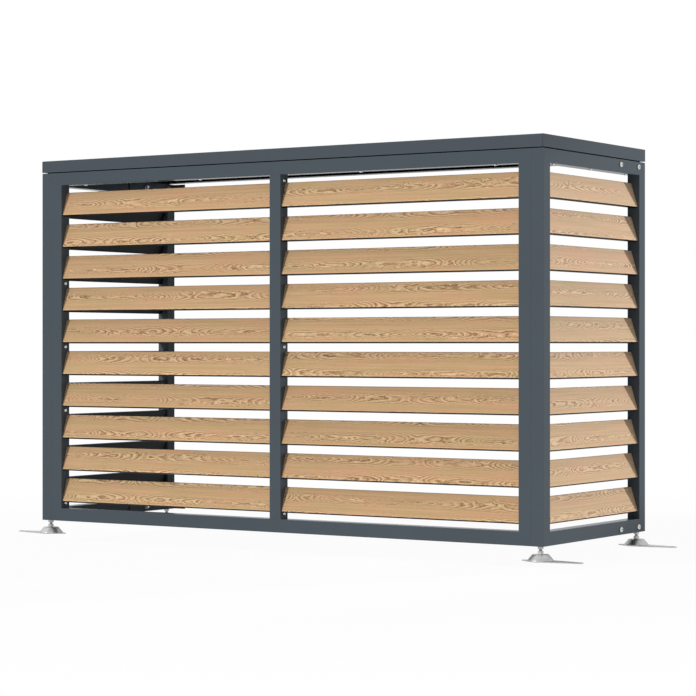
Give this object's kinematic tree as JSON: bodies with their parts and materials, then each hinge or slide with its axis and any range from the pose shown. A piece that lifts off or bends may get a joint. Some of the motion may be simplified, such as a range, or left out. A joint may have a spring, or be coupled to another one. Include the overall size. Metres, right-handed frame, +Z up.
{
  "type": "slatted bin screen",
  "caption": "Free-standing three-sided garden screen with a flat lid: tilted wood-look louvre slats in square-tube frames, levelling feet, anchor plates and rear wall brackets; open back.",
  "frame": {"origin": "on the ground, at the middle of the width and of the depth", "axes": "+X to the right as seen from the front, along the width; +Y from the front panel to the open back; +Z up. The slatted front faces -Y."},
  "size_m": [2.056, 0.685, 1.2],
  "materials": {
    "frame_coat": "satin anthracite powder coat on aluminium tube",
    "lid_coat": "satin anthracite powder coat on folded aluminium sheet",
    "slat_oak": "matt wood-grain decor in light oak on the outer face of hollow aluminium slats, dark anthracite on their back and edges",
    "bare_aluminium": "mill finish",
    "holder_plastic": "moulded black plastic",
    "seal_rubber": "closed-cell black sealing strip",
    "zinc_steel": "bright zinc-plated steel"
  },
  "bodies": {
    "frame": {"front_top_rail": "frame_coat", "front_bottom_rail": "frame_coat", "front_left_stile": "frame_coat", "front_right_stile": "frame_coat", "front_mid_stile": "frame_coat", "left_top_rail": "frame_coat", "left_bottom_rail": "frame_coat", "left_front_stile": "frame_coat", "left_rear_stile": "frame_coat", "right_top_rail": "frame_coat", "right_bottom_rail": "frame_coat", "right_front_stile": "frame_coat", "right_rear_stile": "frame_coat", "front_left_slat_01": "slat_oak", "front_left_slat_02": "slat_oak", "front_left_slat_03": "slat_oak", "front_left_slat_04": "slat_oak", "front_left_slat_05": "slat_oak", "front_left_slat_06": "slat_oak", "front_left_slat_07": "slat_oak", "front_left_slat_08": "slat_oak", "front_left_slat_09": "slat_oak", "front_left_slat_10": "slat_oak", "front_right_slat_01": "slat_oak", "front_right_slat_02": "slat_oak", "front_right_slat_03": "slat_oak", "front_right_slat_04": "slat_oak", "front_right_slat_05": "slat_oak", "front_right_slat_06": "slat_oak", "front_right_slat_07": "slat_oak", "front_right_slat_08": "slat_oak", "front_right_slat_09": "slat_oak", "front_right_slat_10": "slat_oak", "left_side_slats": "slat_oak", "right_side_slats": "slat_oak", "slat_holders": "holder_plastic", "mid_stile_spigots": "bare_aluminium", "lid_tray": "lid_coat", "lid_liner": "lid_coat", "lid_stiffeners": "bare_aluminium", "lid_seal": "seal_rubber", "foot_lock_nuts": "zinc_steel", "foot_weld_nuts": "zinc_steel", "left_wall_brackets": "frame_coat", "right_wall_brackets": "frame_coat", "panel_fasteners": "zinc_steel", "lid_fasteners": "zinc_steel", "bracket_fasteners": "zinc_steel"},
    "front_left_foot": {"front_left_foot_stud": "zinc_steel", "front_left_foot_pad": "zinc_steel", "front_left_anchor_plate": "zinc_steel"},
    "front_right_foot": {"front_right_foot_stud": "zinc_steel", "front_right_foot_pad": "zinc_steel", "front_right_anchor_plate": "zinc_steel"},
    "rear_left_foot": {"rear_left_foot_stud": "zinc_steel", "rear_left_foot_pad": "zinc_steel", "rear_left_anchor_plate": "zinc_steel"},
    "rear_right_foot": {"rear_right_foot_stud": "zinc_steel", "rear_right_foot_pad": "zinc_steel", "rear_right_anchor_plate": "zinc_steel"}
  },
  "joints": [
    {"name": "front_left_foot_height", "type": "slide", "parent": "frame", "child": "front_left_foot", "axis": [0, 0, -1], "range_m": [0, 0.025]},
    {"name": "front_right_foot_height", "type": "slide", "parent": "frame", "child": "front_right_foot", "axis": [0, 0, -1], "range_m": [0, 0.025]},
    {"name": "rear_left_foot_height", "type": "slide", "parent": "frame", "child": "rear_left_foot", "axis": [0, 0, -1], "range_m": [0, 0.025]},
    {"name": "rear_right_foot_height", "type": "slide", "parent": "frame", "child": "rear_right_foot", "axis": [0, 0, -1], "range_m": [0, 0.025]}
  ]
}
